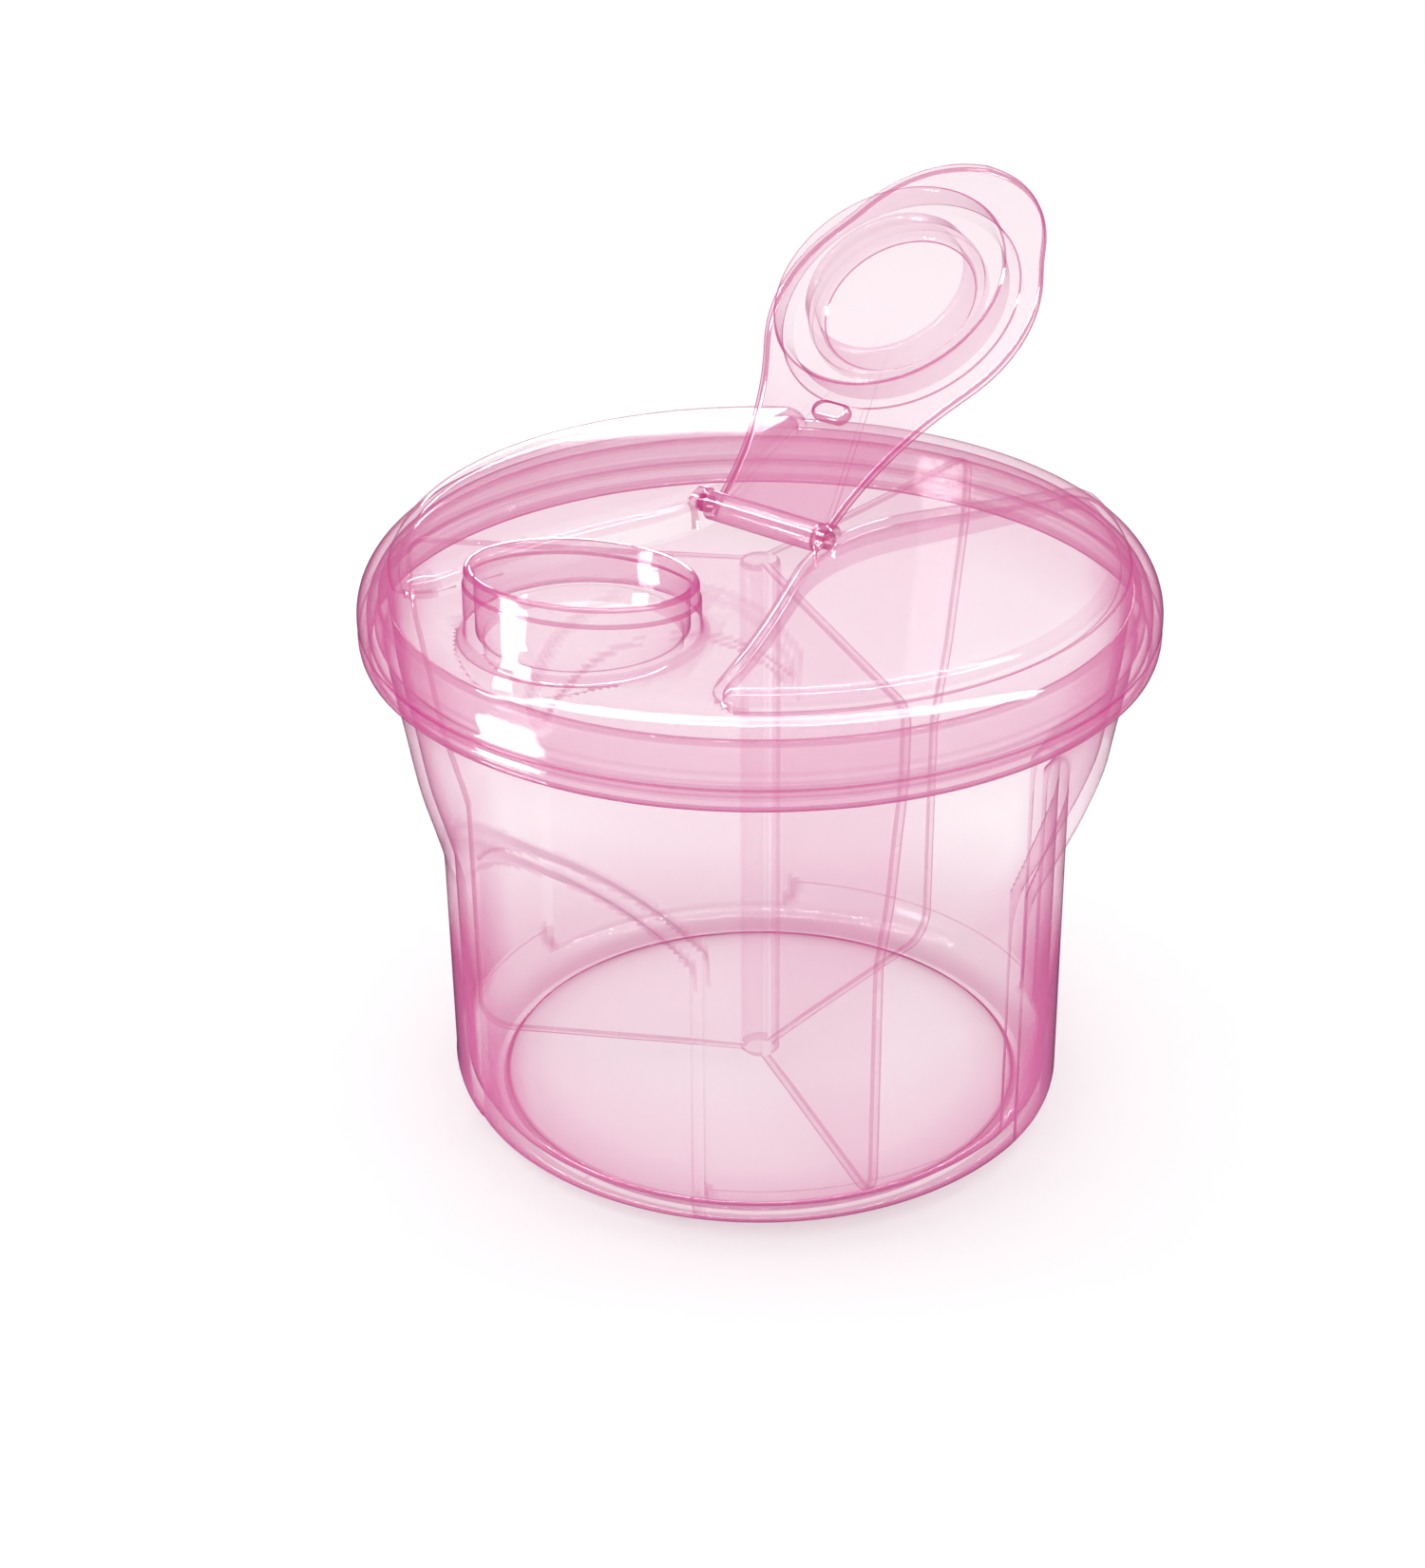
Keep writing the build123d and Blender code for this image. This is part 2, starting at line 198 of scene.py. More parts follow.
PINK = (0.74, 0.20, 0.43)
# The second colour is the pink on tightly curved rims and beads. It is partly the plastic's deeper tint
# there, and partly painted shade along edges and creases.
EDGE_TINT_AND_SHADE = (0.62, 0.07, 0.28)
RIM_PINK_FROM = 0.35
HALF_TURNED = 1.7
EDGE_ON_RISE = ((0.75, 0.2), (0.9, 0.55), (1.0, 1.0))
SCATTER_LOSS = 0.72
FLOW_SCALE = 55.0
GRAIN_SCALE = 900.0
CLOUDING = (0.92, 1.08)
GLOSS_ROUGHNESS = (0.03, 0.09)
SKIN_STRENGTH = 0.08
SKIN_DEPTH = 0.0003
PLASTIC_IOR = 1.5
# In each look, rim is the extra opacity on tightly curved rims, partly painted shade along edges and
# creases.
LOOKS = {
    "cup": {"veil": 0.027, "grazing": 0.85, "rim": 0.35, "gloss": 0.3},
    "divider": {"veil": 0.04, "grazing": 0.2, "rim": 0.35, "gloss": 0.1},
    "lid": {"veil": 0.075, "grazing": 0.85, "rim": 0.42, "gloss": 0.5},
    "flap": {"veil": 0.14, "grazing": 0.95, "rim": 0.55, "gloss": 0.5},
}

CAMERA_PLACE = (235.9, -296.6, 243.2)
CAMERA_AIM = (0.0, 0.0, 40.0)
CAMERA_LENS = 70.58
CAMERA_SHIFT = (-0.0303, 0.0230)

# Lights and floor, in metres and watts.
CAMERA_TURN = 38.5
HIGHLIGHT_TURN = -64.6
TOWARD = radians(CAMERA_TURN - 90 + HIGHLIGHT_TURN)
FLOOR_LIFT = 0.002
FLOOR_RINGS = (200, 800, 4000)
FLOOR_SIDES = 64
FLOOR_WHITE = (0.88, 0.88, 0.88, 1)
WORLD_STRENGTH = 1.12
BOUNCES = 32


# ---------------------------------------------------------------- curves

def arc(centre, radius, start, end, steps):
    """Points on a circle from one angle to another, in degrees."""
    angles = np.radians(np.linspace(start, end, steps + 1))
    return [(centre[0] + radius * cos(a), centre[1] + radius * sin(a)) for a in angles]


def smooth_curve(points, step):
    """Catmull-Rom curve through a few points, sampled about every step."""
    p = np.array([points[0], *points, points[-1]], float)
    p[0] = 2 * p[1] - p[2]
    p[-1] = 2 * p[-2] - p[-3]
    made = []
    for a, b, c, d in zip(p, p[1:], p[2:], p[3:]):
        count = max(2, round(float(np.linalg.norm(c - b)) / step))
        for t in np.arange(count) / count:
            made.append(tuple(0.5 * (2 * b + (c - a) * t + (2 * a - 5 * b + 4 * c - d) * t ** 2
                                     + (3 * b - a - 3 * c + d) * t ** 3)))
    return made + [tuple(p[-2])]


def line(start, end, step):
    """Evenly spaced points from start to end, both included."""
    start, end = np.array(start, float), np.array(end, float)
    count = max(1, round(float(np.linalg.norm(end - start)) / step))
    return [tuple(start + (end - start) * k / count) for k in range(count + 1)]


def tidy(points):
    """The same path without repeated points."""
    kept = [points[0]]
    for p in points[1:]:
        if sqrt((p[0] - kept[-1][0]) ** 2 + (p[1] - kept[-1][1]) ** 2) > REPEAT_GAP:
            kept.append(p)
    return kept


# ---------------------------------------------------------------- meshes

def mesh_object(name, points, faces):
    """A mesh object from points in millimetres and faces given as point numbers."""
    mesh = bpy.data.meshes.new(name)
    mesh.from_pydata([tuple(p) for p in np.asarray(points, float) * MM], [], faces)
    mesh.validate()
    obj = bpy.data.objects.new(name, mesh)
    bpy.context.scene.collection.objects.link(obj)
    return obj


def rings_to_mesh(name, rings, closed):
    """Joins rings of points with quads. A ring of one point is a pole; closed joins last to first."""
    points, starts = [], []
    for ring in rings:
        starts.append(len(points))
        points.extend(ring)
    faces = []
    pairs = list(zip(range(len(rings) - 1), range(1, len(rings))))
    if closed:
        pairs.append((len(rings) - 1, 0))
    for a, b in pairs:
        na, nb = len(rings[a]), len(rings[b])
        n = max(na, nb)
        for k in range(n):
            j = (k + 1) % n
            if na == 1:
                faces.append((starts[a], starts[b] + j, starts[b] + k))
            elif nb == 1:
                faces.append((starts[a] + k, starts[a] + j, starts[b]))
            else:
                faces.append((starts[a] + k, starts[a] + j, starts[b] + j, starts[b] + k))
    return mesh_object(name, points, faces)


def turned(name, profile, closed=False, centre=(0.0, 0.0), steps=None, shape=None):
    """Solid of revolution about an upright axis. shape(point, r, ring number) may move each point."""
    steps = steps or ROUND
    angles = np.arange(steps) * 2 * pi / steps
    rings = []
    for k, (r, z) in enumerate(tidy(profile)):
        ring = [(centre[0] + r * cos(a), centre[1] + r * sin(a), z) for a in (angles if r else [0.0])]
        rings.append([shape(p, r, k) for p in ring] if shape else ring)
    return rings_to_mesh(name, rings, closed)


def inset_outline(outline, amount):
    """Closed outline, counter-clockwise, moved inwards."""
    p = np.array(outline, float)
    along = np.roll(p, -1, 0) - np.roll(p, 1, 0)
    along /= np.linalg.norm(along, axis=1)[:, None]
    return p + np.column_stack((-along[:, 1], along[:, 0])) * amount


def slab(name, outline, low, high, edge_low, edge_high, top=None, middle=None, steps=5):
    """Plate of a closed outline with rounded edges. top(x, y) replaces the flat top level."""
    top = top or (lambda x, y: high)
    middle = np.array(middle if middle is not None else np.mean(outline, axis=0), float)
    rings = [[(middle[0], middle[1], low)]]
    inner = inset_outline(outline, edge_low)
    for share in UNDERSIDE_SHARES:
        flat = middle + (inner - middle) * share
        rings.append([(x, y, low) for x, y in flat])
    for k in range(1, steps + 1):
        a = pi / 2 * k / steps
        ring = inset_outline(outline, edge_low * (1 - sin(a)))
        rings.append([(x, y, low + edge_low * (1 - cos(a))) for x, y in ring])
    for k in range(steps + 1):
        a = pi / 2 * k / steps
        ring = inset_outline(outline, edge_high * (1 - cos(a)))
        rings.append([(x, y, top(x, y) - edge_high * (1 - sin(a))) for x, y in ring])
    inner = inset_outline(outline, edge_high)
    for share in TOP_SHARES:
        flat = middle + (inner - middle) * share
        rings.append([(x, y, top(x, y)) for x, y in flat])
    rings.append([(middle[0], middle[1], top(*middle))])
    return rings_to_mesh(name, rings, False)


def combine(base, others, operation):
    """Boolean of closed solids; the others are used up."""
    for other in others:
        modifier = base.modifiers.new("combine", "BOOLEAN")
        modifier.operation = operation
        modifier.solver = "MANIFOLD"
        modifier.object = other
        with bpy.context.temp_override(object=base, active_object=base):
            bpy.ops.object.modifier_apply(modifier=modifier.name)
        bpy.data.objects.remove(other)
    return base


def moved(obj, matrix):
    """The object with its mesh moved by a matrix in millimetres."""
    scaled = matrix.copy()
    scaled.translation = matrix.translation * MM
    obj.data.transform(scaled)
    return obj


def mirrored(obj, name):
    """A copy of the object on the other side of the plane x = 0."""
    other = bpy.data.objects.new(name, obj.data.copy())
    bpy.context.scene.collection.objects.link(other)
    other.data.transform(Matrix.Scale(-1, 4, (1, 0, 0)))
    other.data.flip_normals()
    return other


def finish_mesh(obj):
    """Smooth shading, with creases kept sharp."""
    obj.data.shade_smooth()
    obj.data.set_sharp_from_angle(angle=SHARP_ANGLE)
    return obj


# ---------------------------------------------------------------- marks for the material

def mark_rims(obj):
    """Stores on each face how tightly it curves, from 0 on open walls to 1 on rims and small beads; the
    material paints a deeper pink there, partly as painted shade.
    """
    mesh = obj.data
    normal = np.empty(len(mesh.polygons) * 3)
    area = np.empty(len(mesh.polygons))
    sides = np.empty(len(mesh.polygons), int)
    edge = np.empty(len(mesh.loops), int)
    ends = np.empty(len(mesh.edges) * 2, int)
    place = np.empty(len(mesh.vertices) * 3)
    mesh.polygons.foreach_get("normal", normal)
    mesh.polygons.foreach_get("area", area)
    mesh.polygons.foreach_get("loop_total", sides)
    mesh.loops.foreach_get("edge_index", edge)
    mesh.edges.foreach_get("vertices", ends)
    mesh.vertices.foreach_get("co", place)
    normal = normal.reshape(-1, 3)
    place = place.reshape(-1, 3) / MM
    face = np.repeat(np.arange(len(sides)), sides)
    pairs = face[np.argsort(edge, kind="stable")].reshape(-1, 2)
    bend = np.arccos(np.clip((normal[pairs[:, 0]] * normal[pairs[:, 1]]).sum(1), -1, 1))
    ends = ends.reshape(-1, 2)
    length = np.linalg.norm(place[ends[:, 0]] - place[ends[:, 1]], axis=1)
    curving, around, bent = np.zeros((3, len(sides)))
    for side in (0, 1):
        np.add.at(curving, pairs[:, side], bend * length / 2)
        np.add.at(around, pairs[:, side], length)
        np.add.at(bent, pairs[:, side], length * (bend > RIM_BEND))
    curvature = curving / np.maximum(area / MM ** 2, 1e-4)
    rim = np.interp(curvature, *RIM_CURVATURE) * (bent > RIM_SHARE * around)
    mesh.attributes.new("rim", "FLOAT", "FACE").data.foreach_set("value", rim)


def mark_depth(obj, depth):
    """Stores on each point how much deeper its pink is, from depth(x, y, z) of arrays in millimetres."""
    place = np.empty(len(obj.data.vertices) * 3)
    obj.data.vertices.foreach_get("co", place)
    values = depth(*(place.reshape(-1, 3) / MM).T)
    obj.data.attributes.new("depth", "FLOAT", "POINT").data.foreach_set("value", values)


def cup_depth(x, y, z):
    """More opaque, so a deeper pink, towards the bottom and in the band of the rim inside the lid's skirt;
    clear in the floor.
    """
    return np.where(np.hypot(x, y) > CUP_FLOOR_R, np.interp(z, *CUP_DEPTH), 1.0)


def divider_depth(x, y, z):
    """The same all over."""
    return np.ones(len(z))


def lid_depth(x, y, z):
    """Deeper down the skirt and in the spout."""
    spout = (np.hypot(x, y - SPOUT_Y) < SPOUT_ZONE_R) & (z > LANE_Z)
    return np.where(spout, SPOUT_DEPTH, np.interp(z, *LID_DEPTH))


def flap_depth(x, y, z):
    """Deeper along the strap, paler at the disc and the thumb tab."""
    return np.interp(y, *FLAP_DEPTH)


# ---------------------------------------------------------------- cup

def smooth_min(a, b, softness):
    """Smaller of two values, with a rounded join."""
    h = np.clip(0.5 + 0.5 * (b - a) / softness, 0, 1)
    return b + (a - b) * h - softness * h * (1 - h)


def recess_r(x, y, z, wall):
    """Radius that a grip recess leaves at this height and direction."""
    around = (degrees(atan2(x, -y)) + COMPARTMENT_TURN / 2) % COMPARTMENT_TURN - COMPARTMENT_TURN / 2
    along = radians(around) * RECESS_R
    side = RECESS_HALF + wall
    apex, spring = RECESS_APEX_Z + wall, RECESS_SIDE_Z + wall
    crown = apex - (apex - spring) * min(abs(along) / side, RECESS_ARCH_LIMIT) ** RECESS_ARCH_POWER
    beyond = -smooth_min((side - abs(along)) * RECESS_LEDGE_SLOPE, crown - z, RECESS_LEDGE_SOFTNESS)
    return RECESS_R - wall + max(0.0, beyond)


def make_cup():
    """The cup, turned from one closed profile whose walls the three grip recesses press inwards."""
    flare = smooth_curve(CUP_FLARE, FLARE_STEP)
    outer = FOOT_DISH + arc((FOOT_DISH[-1][0], DISH_EDGE), DISH_EDGE, 80, 0, 4)
    outer += arc((STAND_R, STAND_FILLET), STAND_FILLET, 180, 270, 5)
    outer += arc((FOOT_R, FOOT_FILLET), FOOT_FILLET, -90, -4, 16)
    outer += line((BASE_R + 0.1, BASE_Z + 0.6), CUP_FLARE[0], WALL_STEP)
    outer += [p for p in flare if p[1] <= BEAD_FROM_Z] + CUP_BEAD + [p for p in flare if p[1] >= BEAD_TO_Z]
    rim = arc((CUP_FLARE[-1][0] - CUP_WALL / 2, CUP_FLARE[-1][1]), CUP_WALL / 2, 0, 180, 8)
    outside = len(tidy(outer + rim[:5]))
    inner = [(r - CUP_WALL, z) for r, z in flare][::-1]
    inner += line(inner[-1], (BASE_R - CUP_WALL, BASE_Z + 0.9), WALL_STEP)
    inner += arc((FOOT_R - 0.6, CUP_FLOOR + FLOOR_FILLET), FLOOR_FILLET, -2, -90, 12)
    inner += FLOOR_CROWN

    def shape(point, r, ring):
        x, y, z = point
        if not RECESS_FROM_Z < z < RECESS_TO_Z or r < RECESS_INNER_R:
            return point
        wall = 0.0 if ring < outside else CUP_WALL
        share = smooth_min(r, recess_r(x, y, z, wall), RECESS_SOFTNESS) / r
        return (x * share, y * share, z)

    return finish_mesh(turned("cup_shell", outer + rim[1:] + inner[1:], shape=shape))


# ---------------------------------------------------------------- divider

def make_divider():
    """A thin hub with a wing for each wall between compartments, following the inside of the cup."""
    edge = tidy([(WING_FOOT_CORNER[0], WING_FOOT_Z)] + arc(WING_FOOT_CORNER, WING_FOOT_FILLET, -80, -8, 8)
                + smooth_curve(WING_EDGE, 1.0) + arc(WING_TOP_CORNER, WING_TOP_FILLET, 10, 90, 6))
    outline = [(0, WING_FOOT_Z), (12, WING_FOOT_Z), (24, WING_FOOT_Z)] + edge
    outline += [(30, WING_TOP_Z), (15, WING_TOP_Z), (0, WING_TOP_Z)]
    profile = [(0, WING_FOOT_Z), (HUB_R - HUB_FOOT_EDGE, WING_FOOT_Z), (HUB_R, WING_FOOT_Z + HUB_FOOT_EDGE)]
    profile += line((HUB_R, WING_FOOT_Z + 1), (HUB_R, WING_TOP_Z - HUB_TOP_EDGE), 6)
    profile += arc((HUB_R - HUB_TOP_EDGE, WING_TOP_Z - HUB_TOP_EDGE), HUB_TOP_EDGE, 0, 90, 4)
    hub = turned("divider_insert", profile + [(0, WING_TOP_Z)], steps=SMALL_ROUND)
    upright = Matrix.Rotation(pi / 2, 4, "X")
    wings = []
    for k in range(COMPARTMENTS):
        wing = slab("wing", outline, -WING_THICKNESS / 2, WING_THICKNESS / 2, WING_FACE_EDGE,
                    WING_FACE_EDGE, middle=WING_MIDDLE, steps=3)
        turn = Matrix.Rotation(radians(WING_FIRST_TURN + COMPARTMENT_TURN * k), 4, "Z")
        wings.append(moved(wing, turn @ upright))
    return finish_mesh(combine(hub, wings, "UNION"))


# ---------------------------------------------------------------- lid

def crease_x(reach):
    """Distance of the petal's crease from the middle of the lane, at a distance from its apex along it."""
    return PETAL_APEX[0] + PETAL_SLOPE * reach - PETAL_BEND * max(0.0, reach - PETAL_STRAIGHT) ** 2


def petal_tip(sign):
    """Where the crease meets the rim: distance from the apex, centre of the fillet, turn of the crease."""
    for reach in np.arange(PETAL_STRAIGHT, PETAL_R, 0.01):
        lean = PETAL_SLOPE - 2 * PETAL_BEND * (reach - PETAL_STRAIGHT)
        share = PETAL_TIP_FILLET / sqrt(1 + lean * lean)
        x = crease_x(reach) + share
        y = PETAL_APEX[1] + sign * (reach - lean * share)
        if x * x + y * y >= (PETAL_R - PETAL_TIP_FILLET) ** 2:
            return reach, (x, y), degrees(atan2(lean, 1.0))
    raise ValueError("the crease does not reach the rim")


def petal_outline():
    """Closed outline of the petal on the +X side, counter-clockwise from its apex."""
    ax, ay = PETAL_APEX
    half = atan2(PETAL_SLOPE, 1.0)
    turn = degrees(half)
    near = PETAL_APEX_FILLET * sin(half)
    front_reach, front, front_turn = petal_tip(-1)
    rear_reach, rear, rear_turn = petal_tip(1)
    front_angle = degrees(atan2(front[1], front[0]))
    rear_angle = degrees(atan2(rear[1], rear[0]))
    centre = (ax + PETAL_APEX_FILLET / cos(half), ay)
    pieces = arc(centre, PETAL_APEX_FILLET, 180 - turn, 180 + turn, 40)
    pieces += [(crease_x(d), ay - d) for d in np.linspace(near, front_reach, 60)[1:-1]]
    pieces += arc(front, PETAL_TIP_FILLET, 180 + front_turn, 360 + front_angle, 14)
    pieces += arc((0, 0), PETAL_R, front_angle, rear_angle, 150)[1:]
    pieces += arc(rear, PETAL_TIP_FILLET, rear_angle, 180 - rear_turn, 14)[1:]
    pieces += [(crease_x(d), ay + d) for d in np.linspace(rear_reach, near, 60)[1:-1]]
    return pieces


def dome(drop):
    """Height of the petals' shared dome, lowered by a wall thickness."""
    return lambda x, y: DOME_TOP_Z - drop - DOME_R + sqrt(DOME_R ** 2 - x * x - y * y)


def make_petal(name, inset, edge):
    """Solid petal on the +X side, drawn in by a wall thickness, from under the lane up to the dome."""
    outline = inset_outline(petal_outline(), inset)
    return slab(name, outline, LANE_Z - PETAL_ROOT - inset, 0, PETAL_ROOT_EDGE, edge, top=dome(inset),
                middle=PETAL_MIDDLE, steps=8)


def rim_tilt(y):
    """Level of the spout's tilted rim, which slopes down from the hinge axis."""
    return HINGE_Z + (HINGE_Y - y) * sin(SPOUT_TILT) / cos(SPOUT_TILT)


def make_spout(name, profile):
    """Turned part of the spout. Levels up to TILT_FROM are over the lane; the rest tilt, with TILT_RIM at
    the rim."""
    def shape(point, r, ring):
        x, y, z = point
        return (x, y, rim_tilt(y) + z - TILT_RIM) if z > TILT_FROM else (x, y, LANE_Z + z)
    return turned(name, profile, centre=(0, SPOUT_Y), steps=ROUND // 2, shape=shape)


def lid_section(lip, wall):
    """Profile of the lid without petals and spout, with its lip, at a depth under its outer surface."""
    shoulder = arc((LID_R - SHOULDER_R, LID_EDGE_Z), SHOULDER_R - wall, 0, 90, 22)
    return lip + shoulder + [(r, LANE_Z - wall) for r in LANE_RINGS]


def spout_tube():
    """Outside of the spout: foot fillet, body, the narrower band at the rim and the rounded rim."""
    foot = arc((SPOUT_FOOT_R, SPOUT_FOOT_FILLET), SPOUT_FOOT_FILLET, 270, 180, 6)
    profile = [(0, -3), (SPOUT_FOOT_R + 0.4, -3)] + foot + [(SPOUT_BODY_R, 4), (SPOUT_BODY_R, 17.4)]
    profile += [(SPOUT_BODY_R - 0.03, 17.6), (SPOUT_RIM_R + 0.03, 17.8), (SPOUT_RIM_R, 18)]
    rim = (SPOUT_RIM_R - SPOUT_RIM_FILLET, TILT_RIM - SPOUT_RIM_FILLET)
    profile += arc(rim, SPOUT_RIM_FILLET, 0, 90, 5)
    return make_spout("spout", profile + [(0, TILT_RIM)])


def spout_bore():
    """Inside of the spout: throat, the shelf that the cap's plug sits over, and the bore with its rim."""
    shelf = SPOUT_SHELF_Z - LANE_Z
    profile = [(0, -8), (SPOUT_THROAT_R, -8), (SPOUT_THROAT_R, shelf - 0.3), (SPOUT_THROAT_R + 0.3, shelf)]
    profile += [(SPOUT_BORE_R - 0.2, shelf), (SPOUT_BORE_R, shelf + 0.3), (SPOUT_BORE_R, 4)]
    profile += [(SPOUT_BORE_R, 19.5), (SPOUT_BORE_R + 0.1, 19.8), (SPOUT_BORE_R + 0.35, 20.0)]
    profile += [(SPOUT_BORE_R + 0.35, 23), (0, 23)]
    return make_spout("bore", profile)


def hinge_ears():
    """Two round ears for the cap's pins, each on a web that stands on the lane."""
    upright = Matrix.Rotation(pi / 2, 4, "Z") @ Matrix.Rotation(pi / 2, 4, "X")
    ears = []
    for side in (-1, 1):
        place = Matrix.Translation((side * (BARREL_HALF + EAR_GAP), HINGE_Y, HINGE_Z))
        ear = turned("ear", EAR_PROFILE, steps=SMALL_ROUND)
        ears.append(moved(ear, place @ Matrix.Rotation(side * pi / 2, 4, "Y")))
        web = slab("web", WEB_OUTLINE, 0, WEB_THICKNESS, WEB_EDGE, WEB_EDGE, steps=2)
        if side < 0:
            place = place @ Matrix.Translation((-WEB_THICKNESS, 0, 0))
        ears.append(moved(web, place @ upright))
    return ears


def make_lid():
    """The lid: outer solid with petals, spout and ears, less the space under its wall and the bores."""
    shell = turned("lid_shell", lid_section(LIP_OUTSIDE, 0.0))
    right = make_petal("petal_right", 0.0, PETAL_EDGE)
    left = mirrored(right, "petal_left")
    combine(shell, [right, left, spout_tube()] + hinge_ears(), "UNION")

    cavity = turned("cavity", lid_section(LIP_INSIDE, LID_WALL))
    pocket = make_petal("pocket", LID_WALL, PETAL_INNER_EDGE)
    combine(cavity, [pocket, mirrored(pocket, "other_pocket")], "UNION")
    hole_r = PIN_R + PIN_PLAY
    hole = turned("hole", [(0, -HOLE_HALF), (hole_r, -HOLE_HALF), (hole_r, HOLE_HALF), (0, HOLE_HALF)],
                  steps=PIN_ROUND)
    moved(hole, Matrix.Translation((0, HINGE_Y, HINGE_Z)) @ Matrix.Rotation(pi / 2, 4, "Y"))
    return finish_mesh(combine(shell, [cavity, spout_bore(), hole], "DIFFERENCE"))


# ---------------------------------------------------------------- flip cap

def circle_through(a, b, c):
    """Centre of the circle through three points."""
    d = 2 * (a[0] * (b[1] - c[1]) + b[0] * (c[1] - a[1]) + c[0] * (a[1] - b[1]))
    sa, sb, sc = (p[0] * p[0] + p[1] * p[1] for p in (a, b, c))
    return ((sa * (b[1] - c[1]) + sb * (c[1] - a[1]) + sc * (a[1] - b[1])) / d,
            (sa * (c[0] - b[0]) + sb * (a[0] - c[0]) + sc * (b[0] - a[0])) / d)


def turn_of(point, centre):
    """Direction of a point from a centre, in degrees."""
    return degrees(atan2(point[1] - centre[1], point[0] - centre[0]))


def cap_outline():
    """Closed outline of strap, disc and thumb tab in the plate's plane, counter-clockwise."""
    flare_x = CAP_FLARE * CAP_FLANGE_R
    flare = (flare_x, CAP_REACH - sqrt(CAP_FLANGE_R ** 2 - flare_x ** 2))
    root = (BARREL_HALF, 0.0)
    middle = circle_through(root, CAP_WAIST, flare)
    radius = sqrt((root[0] - middle[0]) ** 2 + (root[1] - middle[1]) ** 2)
    strap = arc(middle, radius, turn_of(root, middle) % 360, turn_of(flare, middle) % 360, 44)
    notch_u = CAP_REACH + (CAP_FLANGE_R ** 2 - TAB_R ** 2 + TAB_REACH ** 2) / (2 * TAB_REACH)
    notch = (sqrt(CAP_FLANGE_R ** 2 - (notch_u - CAP_REACH) ** 2), notch_u)
    hub, tab_hub = (0, CAP_REACH), (0, CAP_REACH + TAB_REACH)
    disc = arc(hub, CAP_FLANGE_R, turn_of(flare, hub), turn_of(notch, hub), 46)
    tab = arc(tab_hub, TAB_R, turn_of(notch, tab_hub), 90, 40)
    half = np.array(strap + disc[1:] + tab[1:])
    for _ in range(CAP_SMOOTHING):
        half[1:-1] = half[1:-1] * 0.5 + (half[:-2] + half[2:]) * 0.25
    left = [(-x, u) for x, u in half[::-1][1:]]
    across = line(left[-1], tuple(half[0]), 1.5)[1:-1]
    return [(x, u) for x, u in half] + left + across


def cap_barrel():
    """Hinge barrel along X with its two pins."""
    half = [(0, PIN_END), (PIN_R - PIN_EDGE, PIN_END), (PIN_R, PIN_END - PIN_EDGE), (PIN_R, BARREL_HALF)]
    half += [(BARREL_R - BARREL_EDGE, BARREL_HALF), (BARREL_R, BARREL_HALF - BARREL_EDGE)]
    half.append((BARREL_R, BARREL_MIDDLE))
    profile = [(r, -x) for r, x in half] + half[::-1]
    return moved(turned("barrel", profile, steps=SMALL_ROUND), Matrix.Rotation(pi / 2, 4, "Y"))


def make_flap():
    """The cap, built lying closed with its hinge axis at the origin, then turned open."""
    plate = slab("cap_plate", cap_outline(), CAP_GAP, CAP_GAP + CAP_THICKNESS, CAP_LOW_EDGE, CAP_TOP_EDGE,
                 middle=CAP_MIDDLE)
    rings = [turned("skirt", SKIRT_PROFILE, closed=True, centre=(0, CAP_REACH), steps=ROUND // 2),
             turned("plug", PLUG_PROFILE, closed=True, centre=(0, CAP_REACH), steps=ROUND // 2)]
    nub_outline = arc((NUB_R, NUB_REACH), NUB_R, -90, 90, 12) + arc((-NUB_R, NUB_REACH), NUB_R, 90, 270, 12)
    nub = slab("nub", nub_outline, -NUB_DEPTH, NUB_DEPTH, NUB_EDGE, NUB_ROOT_EDGE, steps=4)
    combine(plate, rings + [cap_barrel(), nub], "UNION")
    towards_spout = Matrix.Rotation(pi, 4, "Z")
    opened = Matrix.Rotation(-SPOUT_TILT - CAP_OPEN, 4, "X")
    moved(plate, Matrix.Translation((0, HINGE_Y, HINGE_Z)) @ opened @ towards_spout)
    plate.name = "cap"
    return finish_mesh(plate)


# ---------------------------------------------------------------- stage

def make_floor():
    """Plain pale floor, which the plastic's gloss does not mirror."""
    turns = np.arange(FLOOR_SIDES) * 2 * pi / FLOOR_SIDES
    rings = [[(0, 0, 0)]] + [[(r * cos(a), r * sin(a), 0) for a in turns] for r in FLOOR_RINGS]
    floor = rings_to_mesh("floor", rings, False)
    floor.data.flip_normals()
    material = bpy.data.materials.new("floor_white")
    material.use_nodes = True
    shader = material.node_tree.nodes["Principled BSDF"]
    shader.inputs["Base Color"].default_value = FLOOR_WHITE
    shader.inputs["Roughness"].default_value = 0.9
    floor.data.materials.append(material)
    floor.visible_glossy = False


def make_world():
    """Even white light from all round, which the plastic's gloss does not mirror."""
    world = bpy.data.worlds.new("studio")
    world.use_nodes = True
    world.node_tree.nodes["Background"].inputs["Color"].default_value = (1, 1, 1, 1)
    world.node_tree.nodes["Background"].inputs["Strength"].default_value = WORLD_STRENGTH
    bpy.context.scene.world = world
    world.cycles_visibility.glossy = False


def softbox(name, place, target, size, power):
    """Area light that shows only in the plastic's gloss."""
    light = bpy.data.lights.new(name, "AREA")
    light.shape = "RECTANGLE"
    light.size, light.size_y = size
    light.energy = power
    obj = bpy.data.objects.new(name, light)
    obj.location = place
    obj.rotation_euler = (Vector(target) - Vector(place)).to_track_quat("-Z", "Y").to_euler()
    obj.visible_camera = False
    obj.visible_diffuse = False
    obj.visible_transmission = False
    bpy.context.scene.collection.objects.link(obj)
    return obj


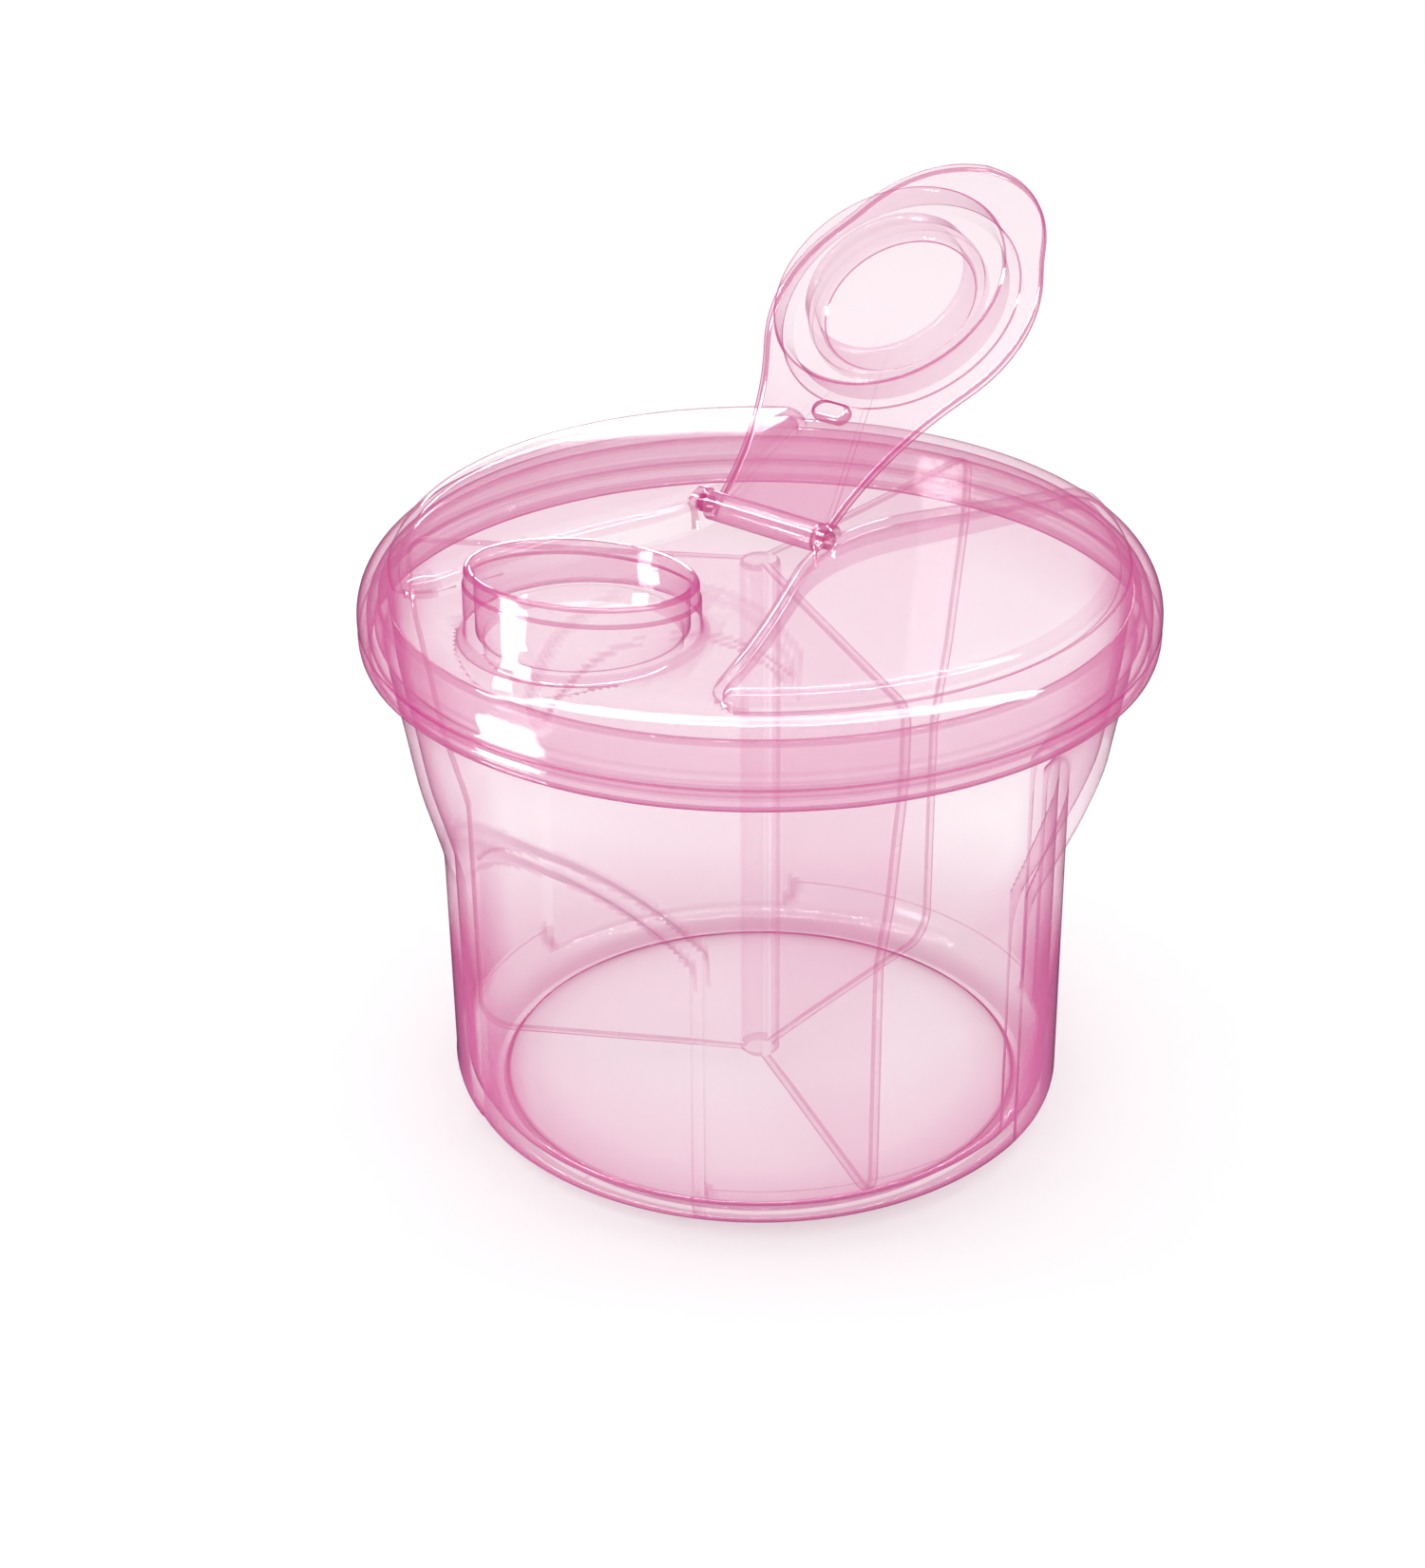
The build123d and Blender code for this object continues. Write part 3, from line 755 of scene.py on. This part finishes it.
def floor_light(name, reach, size, power):
    """Softbox lying on the floor and facing up, at a distance from the object, for its upright walls."""
    x, y = reach * cos(TOWARD), reach * sin(TOWARD)
    light = softbox(name, (x, y, FLOOR_LIFT), (x, y, 1), size, power)
    light.rotation_euler = (pi, 0, pi / 2 + TOWARD)


def make_lights():
    """One crisp highlight on skirt and spout, a weak one on the cup, and streaks over the lid."""
    floor_light("strip", reach=0.205, size=(0.062, 0.08), power=2.6)
    floor_light("glow", reach=0.16, size=(0.03, 0.07), power=0.06)
    beyond = (0.248 * cos(TOWARD), 0.248 * sin(TOWARD), 0.05)
    softbox("panel", beyond, target=(0, 0, 0.05), size=(0.07, 0.1), power=1.4)
    softbox("crease", (-0.36, 0.33, 0.15), target=(0, 0, 0.083), size=(0.2, 0.04), power=0.8)
    overhead = softbox("overhead", (0, 0, 1.0), target=(0, 0, 0), size=(3.0, 0.12), power=110)
    overhead.rotation_euler = (0, 0, radians(CAMERA_TURN))


def make_camera():
    """Camera at the photograph's viewing angle."""
    data = bpy.data.cameras.new("camera")
    data.lens = CAMERA_LENS
    data.shift_x, data.shift_y = CAMERA_SHIFT
    camera = bpy.data.objects.new("camera", data)
    place = Vector(CAMERA_PLACE) * MM
    camera.location = place
    camera.rotation_euler = (Vector(CAMERA_AIM) * MM - place).to_track_quat("-Z", "Y").to_euler()
    bpy.context.scene.collection.objects.link(camera)
    bpy.context.scene.camera = camera


# ---------------------------------------------------------------- material

class Nodes:
    """Adds nodes to one material, with each input given as a value or as another node's output."""

    def __init__(self, material):
        self.tree = material.node_tree
        self.shader = self.tree.nodes["Principled BSDF"]

    def add(self, kind, output, settings=None, **inputs):
        node = self.tree.nodes.new("ShaderNode" + kind)
        for name, value in (settings or {}).items():
            setattr(node, name, value)
        for name, value in inputs.items():
            self.feed(node.inputs[name.replace("_", " ")], value)
        return node.outputs[output]

    def feed(self, socket, value):
        if isinstance(value, bpy.types.NodeSocket):
            self.tree.links.new(value, socket)
        else:
            socket.default_value = value

    def noise(self, scale, detail):
        place = self.add("TexCoord", "Object")
        return self.add("TexNoise", "Fac", Vector=place, Scale=scale, Detail=detail)

    def spread(self, value, low, high):
        return self.add("MapRange", "Result", Value=value, To_Min=low, To_Max=high)

    def maths(self, operation, first, second):
        output = self.add("Math", "Value", {"operation": operation, "use_clamp": True})
        for socket, value in zip(output.node.inputs, (first, second)):
            self.feed(socket, value)
        return output

    def ramp(self, value, stops):
        output = self.add("ValToRGB", "Color", Fac=value)
        elements = output.node.color_ramp.elements
        while len(elements) < len(stops):
            elements.new(0.5)
        for element, (place, colour) in zip(elements, stops):
            element.position = place
            element.color = (*colour, 1) if isinstance(colour, tuple) else (colour, colour, colour, 1)
        return output


def wall_opacity(nodes, edge_on, rim, look):
    """How much one clear wall hides: little square-on, more edge-on, and more on tightly curved rims, where
    the extra is partly painted shade.
    """
    veil, rise = look["veil"], look["grazing"] - look["veil"]
    steep = [(place, veil + rise * share) for place, share in EDGE_ON_RISE]
    wall = nodes.ramp(edge_on, [(0.0, veil), (0.5, veil * HALF_TURNED)] + steep)
    deeper = nodes.maths("MULTIPLY", wall, nodes.add("Attribute", "Fac", {"attribute_name": "depth"}))
    # Extra opacity on tightly curved rims: partly the thicker plastic, partly painted shade along edges and
    # creases.
    return nodes.maths("ADD", deeper, nodes.maths("MULTIPLY", rim, look["rim"]))


def passed_light(nodes, opacity):
    """Opacity as the lit floor sees it: light that a milky wall scatters still mostly gets through."""
    rays = nodes.add("LightPath", "Is Shadow Ray").node
    lighting = nodes.maths("MAXIMUM", rays.outputs["Is Shadow Ray"], rays.outputs["Is Diffuse Ray"])
    share = nodes.spread(lighting, 1.0, SCATTER_LOSS)
    return nodes.maths("MULTIPLY", opacity, share)


def pink_plastic(name, look):
    """Translucent polypropylene with a moulded gloss, clouded slightly where it flowed."""
    material = bpy.data.materials.new(name)
    material.use_nodes = True
    nodes = Nodes(material)
    flow = nodes.noise(FLOW_SCALE, 2.0)
    grain = nodes.noise(GRAIN_SCALE, 3.0)
    edge_on = nodes.add("LayerWeight", "Facing", Blend=0.5)
    rim = nodes.add("Attribute", "Fac", {"attribute_name": "rim"})

    # Rims and beads turn a deeper pink: partly the plastic's own tint, partly painted shade along edges and
    # creases.
    pink = nodes.ramp(rim, [(RIM_PINK_FROM, PINK), (1.0, EDGE_TINT_AND_SHADE)])
    clouded = nodes.add("HueSaturation", "Color", Color=pink, Saturation=nodes.spread(flow, *CLOUDING))
    skin = nodes.add("Bump", "Normal", Strength=SKIN_STRENGTH, Distance=SKIN_DEPTH, Height=flow)
    opacity = passed_light(nodes, wall_opacity(nodes, edge_on, rim, look))
    for socket, value in (("Base Color", clouded), ("Alpha", opacity), ("Normal", skin),
                          ("Roughness", nodes.spread(grain, *GLOSS_ROUGHNESS)), ("IOR", PLASTIC_IOR),
                          ("Specular IOR Level", look["gloss"])):
        nodes.feed(nodes.shader.inputs[socket], value)
    return material


# ---------------------------------------------------------------- assembly

make_floor()
make_world()
make_camera()
make_lights()

for make, depth, body, node in ((make_cup, cup_depth, "cup", "cup"),
                                (make_divider, divider_depth, "divider", "divider"),
                                (make_lid, lid_depth, "lid", "lid"),
                                (make_flap, flap_depth, "flap", "flap_cap")):
    piece = make()
    mark_rims(piece)
    mark_depth(piece, depth)
    piece.data.materials.clear()
    piece.data.materials.append(pink_plastic(body + "_polypropylene", LOOKS[body]))
    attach(piece, body)
    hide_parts(node)

scene = bpy.context.scene
scene.view_settings.view_transform = "Standard"
scene.cycles.max_bounces = BOUNCES
scene.cycles.transmission_bounces = BOUNCES
scene.cycles.transparent_max_bounces = BOUNCES
